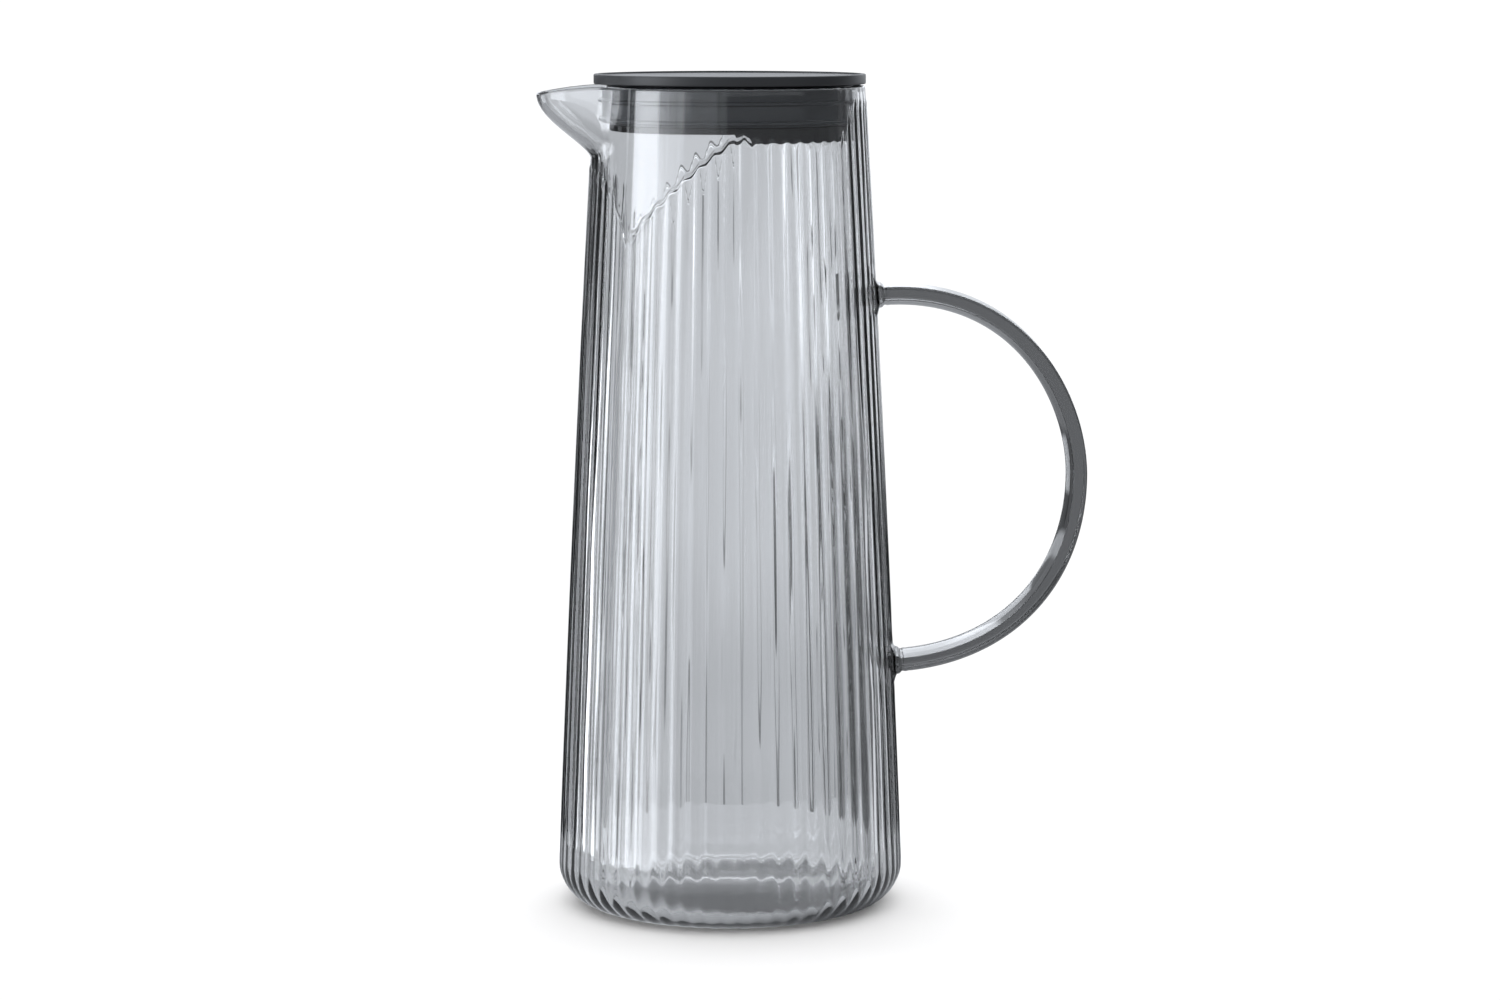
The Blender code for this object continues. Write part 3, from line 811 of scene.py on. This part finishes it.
def collar_edge(angle):
    """Height of the collar's lower edge, from the cap's underside, at each angle."""
    away = from_spout(angle)
    plain = away > STRAINER_HALF_ANGLE
    start, end = NOTCH_FROM_SPOUT
    inside = np.maximum(np.minimum(away - SKIRT_FROM_SPOUT, start - away), away - end)
    skirt = rounded_step(inside * COLLAR_RADIUS, SKIRT_CORNER)
    nearest = np.round(away / SLOT_PITCH)
    in_slot = np.abs(away - nearest * SLOT_PITCH) * COLLAR_RADIUS < SLOT_WIDTH / 2
    slot = in_slot & (nearest <= (SLOT_COUNT - 1) / 2)
    return -COLLAR_DEPTH - SOLID_STEP * plain - SKIRT_STEP * skirt + SLOT_HEIGHT * slot


def lid_collar():
    """A ring with a groove for the seal, whose side and lower edge change on the way round."""
    angle = column_angles(COLLAR_COLUMNS)
    edge = collar_edge(angle)
    side = COLLAR_RADIUS - STRAINER_INSET * (from_spout(angle) < STRAINER_HALF_ANGLE)
    groove = COLLAR_RADIUS - SEAL_GROOVE - SEAT_GAP
    shoulder = -SEAL_DEPTH - SEAT_GAP
    corners = [
        (COLLAR_BORE, -SEAT_GAP),
        (groove, -SEAT_GAP),
        (groove, shoulder),
        (side, shoulder),
        (side, edge),
        (COLLAR_BORE, edge),
    ]
    # Every corner gets one radius and one height at each angle
    corners = np.array([(r + 0 * angle, z + 0 * angle) for r, z in corners]).transpose(0, 2, 1)
    outline = soften(corners, COLLAR_SOFT) + (0, CAP_BASE)
    points = turned(outline[::-1], COLLAR_COLUMNS)
    faces = [grid_quads(len(outline), COLLAR_COLUMNS, closed_rows=True)]
    return new_object("lid_strainer", points, faces, charcoal)


lid_strainer = lid_collar()
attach(lid_strainer, "lid")
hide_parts("lid_collar")

# %% Seal
FIN_THICKNESS, FIN_TIP = 1.4 * MM, 0.7 * MM
FIN_DEPTHS = 5.3 * MM, 11.2 * MM
SEAL_RADIUS = RIM_RADIUS - GLASS_WALL - SEAT_GAP
SEAL_SOFT = 0.2 * MM
SEAL_COLUMNS = 360
print(f"seal: {2000 * SEAL_RADIUS:.1f} mm across its fins")


def lid_seal():
    """A sleeve with two fins, each a blunt wedge on the sleeve's outer side."""
    inner, sleeve = COLLAR_RADIUS - SEAL_GROOVE, COLLAR_RADIUS + SEAL_PROUD
    corners = [(inner, -SEAT_GAP), (sleeve, -SEAT_GAP)]
    for depth in FIN_DEPTHS:
        corners += [
            (sleeve, FIN_THICKNESS / 2 - depth),
            (SEAL_RADIUS, FIN_TIP / 2 - depth),
            (SEAL_RADIUS, -FIN_TIP / 2 - depth),
            (sleeve, -FIN_THICKNESS / 2 - depth),
        ]
    corners += [(sleeve, -SEAL_DEPTH), (inner, -SEAL_DEPTH)]
    outline = soften(np.array(corners)[:, None], [SEAL_SOFT] * len(corners)) + (0, CAP_BASE)
    points = turned(outline[::-1], SEAL_COLUMNS)
    faces = [grid_quads(len(outline), SEAL_COLUMNS, closed_rows=True)]
    return new_object("lid_ring", points, faces, silicone)


lid_ring = lid_seal()
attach(lid_ring, "seal")
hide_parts("lid_seal")

# %% [markdown]
# ## Studio
#
# Glass shows its surroundings and hardly anything of its own, so the studio is most of the
# look. The camera sees plain white. For every other ray the world is worked out from the
# direction, like a set built round the jug: a pale table and wall behind it, black flags and
# narrow bright strips beside them that draw the dark and light edges of the glass, a tall soft
# box on the left for the white bands on the ribs, grey walls, and a light over the table. Lamps
# would do the same, but a world this smooth leaves less noise in the glass.
#
# The floor is a small round plate. Past its edge a ray falls through to the world below. The
# camera sees it as plain white paint with a soft shadow. Through the glass it is a painted glow,
# like a light table, or the thick base of the jug would look black. A painted shadow of the jug
# darkens that glow under the jug, shifted away from the soft box.

# %% Floor
FLOOR_RADIUS = 150 * MM
FLOOR_DROP = 0.05 * MM
FLOOR_GLOW = 0.72
# Painted shadow of the jug in the floor's glow: dark under its middle, and shifted away from the
# soft box
FLOOR_SHADE = 0.02  # under the middle of the jug
SHADE_RADII = 36.0 * MM, 48.0 * MM
SHADE_SHIFT = 9.0 * MM  # away from the soft box
FLOOR_PAINT = "#D3CFCA"  # a warm white, which the cool light turns neutral
FLOOR_COLUMNS = 96
STUDIO_TINT = (0.965, 1.005, 1.065, 1.0)  # cool daylight
floor_paint, tree, output = new_material("studio floor, white")
paint = add_node(
    tree, "ShaderNodeBsdfPrincipled", {"Base Color": colour(FLOOR_PAINT), "Roughness": 0.9}
)
places = add_node(tree, "ShaderNodeTexCoord")
away = add_node(
    tree,
    "ShaderNodeVectorMath",
    {0: places.outputs["Object"], 1: (SHADE_SHIFT, 0, 0)},
    operation="DISTANCE",
)
shade = add_node(
    tree,
    "ShaderNodeMapRange",
    {
        "Value": away.outputs["Value"],
        "From Min": SHADE_RADII[0],
        "From Max": SHADE_RADII[1],
        "To Min": FLOOR_SHADE,
        "To Max": FLOOR_GLOW,
    },
    interpolation_type="SMOOTHSTEP",
)
glow = add_node(
    tree, "ShaderNodeEmission", {"Color": STUDIO_TINT, "Strength": shade.outputs["Result"]}
)
path = add_node(tree, "ShaderNodeLightPath")
both = add_node(
    tree,
    "ShaderNodeMixShader",
    {0: path.outputs["Is Camera Ray"], 1: glow.outputs[0], 2: paint.outputs["BSDF"]},
)
tree.links.new(both.outputs[0], output.inputs["Surface"])
flat = np.ones(FLOOR_COLUMNS)
edge = cylinder_points(FLOOR_RADIUS * flat, column_angles(FLOOR_COLUMNS), -FLOOR_DROP * flat)
disc = [np.arange(FLOOR_COLUMNS)[None, :]]
floor = new_object("studio_floor", edge, disc, floor_paint, smooth=False)

# %% Light of the studio by direction
# Each part of the set covers the ones above it. Its numbers: degrees round from the back (right
# 90, front 180, left 270), half its width and the softness of its sides in degrees, the sines of
# its lower and upper edge, and its brightness. A lower edge of -1.1 is none, as straight down
# has the sine -1
SET = {
    "grey wall on the right": (85, 40, 3, -0.26, 0.3, 0.25),
    "grey wall on the left": (275, 16, 3, -0.26, 0.3, 0.22),
    "black flag behind on the right": (29, 20, 1, -0.26, -0.09, 0.06),
    "black flag behind on the left": (327, 21, 1, -0.26, 0.10, 0.08),
    "wall behind on the right": (29, 18, 3, -0.09, 0.45, 1.4),
    "table behind": (358, 14, 4, -1.1, 0.45, 0.64),
    "wall behind": (358, 14, 4, -0.155, 0.45, 0.78),
    "wall above the eye": (0, 18, 4, 0.0, 0.45, 0.9),
    "strip behind on the right": (52, 8, 1, -0.3, -0.09, 1.2),
    "strip behind on the left": (298, 9, 1, -0.3, -0.03, 3.2),
    "grey in front on the right": (140, 50, 5, 0.04, 0.3, 0.3),
    "low card in front on the right": (150, 38, 4, -0.2, 0.04, 1.1),
    "fill beside the box": (202, 17, 4, -0.23, 0.3, 1.0),
    "white wall over the jug": (0, 45, 6, 0.06, 0.165, 1.8),
    "light over the table": (0, 75, 10, 0.5, 0.85, 4.0),
    "soft box, dim part": (229, 10, 4, -0.215, 0.3, 2.6),
    "soft box": (253, 14, 4, -0.215, 0.3, 7.2),
}
ROOM = 0.5
EDGE_SOFTNESS = 0.02
CEILING_START, CEILING_END, CEILING = 0.4, 0.8, 2.1
BACKDROP = 1.05  # what the camera sees, a little over white


def studio_world():
    """Starts with a room that brightens to the ceiling. Each part of the set then covers what
    lies behind it, by a mask that is the product of soft steps to its sides, below and above."""
    world = bpy.data.worlds.new("studio")
    bpy.context.scene.world = world
    world.use_nodes = True
    tree = world.node_tree
    tree.nodes.clear()

    def maths(operation, *values):
        links = dict(enumerate(values))
        return add_node(tree, "ShaderNodeMath", links, operation=operation).outputs[0]

    def blend(value, start, end):
        """An S-curve from 0 at start to 1 at end, in either direction."""
        low, high, flip = min(start, end), max(start, end), start > end
        links = {"Value": value, "From Min": low, "From Max": high}
        links.update({"To Min": float(flip), "To Max": float(not flip)})
        kind = "ShaderNodeMapRange"
        return add_node(tree, kind, links, interpolation_type="SMOOTHSTEP").outputs[0]

    def mix(below, above, cover):
        """What lies above, by the share that it covers, over what lies below."""
        return maths("MULTIPLY_ADD", cover, maths("SUBTRACT", above, below), below)

    output = tree.nodes.new("ShaderNodeOutputWorld")
    places = add_node(tree, "ShaderNodeTexCoord")
    parts = add_node(tree, "ShaderNodeSeparateXYZ", {0: places.outputs["Generated"]})
    around = maths("ARCTAN2", parts.outputs["X"], parts.outputs["Y"])
    share = maths("MULTIPLY", around, 1 / TURN)
    up = parts.outputs["Z"]
    ceiling = blend(up, CEILING_START, CEILING_END)
    light = maths("MULTIPLY_ADD", ceiling, CEILING - ROOM, ROOM)
    for centre, half, soft, foot, top, brightness in SET.values():
        aside = maths("PINGPONG", maths("SUBTRACT", share, centre / 360), 0.5)
        cover = blend(aside, (half + soft) / 360, (half - soft) / 360)
        over_foot = blend(up, foot - EDGE_SOFTNESS, foot + EDGE_SOFTNESS)
        under_top = blend(up, top + EDGE_SOFTNESS, top - EDGE_SOFTNESS)
        cover = maths("MULTIPLY", maths("MULTIPLY", cover, over_foot), under_top)
        light = mix(light, brightness, cover)
    studio = add_node(tree, "ShaderNodeBackground", {"Color": STUDIO_TINT, "Strength": light})
    white = add_node(
        tree, "ShaderNodeBackground", {"Color": colour("#FFFFFF"), "Strength": BACKDROP}
    )
    path = add_node(tree, "ShaderNodeLightPath")
    switch = add_node(
        tree,
        "ShaderNodeMixShader",
        {0: path.outputs["Is Camera Ray"], 1: studio.outputs[0], 2: white.outputs[0]},
    )
    tree.links.new(switch.outputs[0], output.inputs["Surface"])


studio_world()
print("parts of the set:", len(SET))

# %% [markdown]
# ## Camera
#
# A long lens from over a metre away, a little above the lid and tilted down. Its place was
# found from the ellipses of the lid and the base: how flat each one looks gives the height of
# the eye, and how much flatter the upper one is gives the distance.

# %% Camera
CAMERA_LENS, CAMERA_SENSOR = 96.2, 36.0  # both in mm, as Blender wants them
CAMERA_PLACE = 6.27 * MM, -1246 * MM, 287.7 * MM
CAMERA_TILT = math.radians(7.346)  # downwards
camera_data = bpy.data.cameras.new("camera")
camera_data.lens = CAMERA_LENS
camera_data.sensor_width = CAMERA_SENSOR
camera_data.clip_start = 50 * MM
camera = bpy.data.objects.new("camera", camera_data)
bpy.context.scene.collection.objects.link(camera)
camera.location = CAMERA_PLACE
camera.rotation_euler = (math.radians(90) - CAMERA_TILT, 0, 0)
bpy.context.scene.camera = camera
bpy.context.scene.view_settings.view_transform = "Standard"
print(f"camera: {CAMERA_LENS} mm lens, {-1000 * CAMERA_PLACE[1]:.0f} mm in front of the jug")
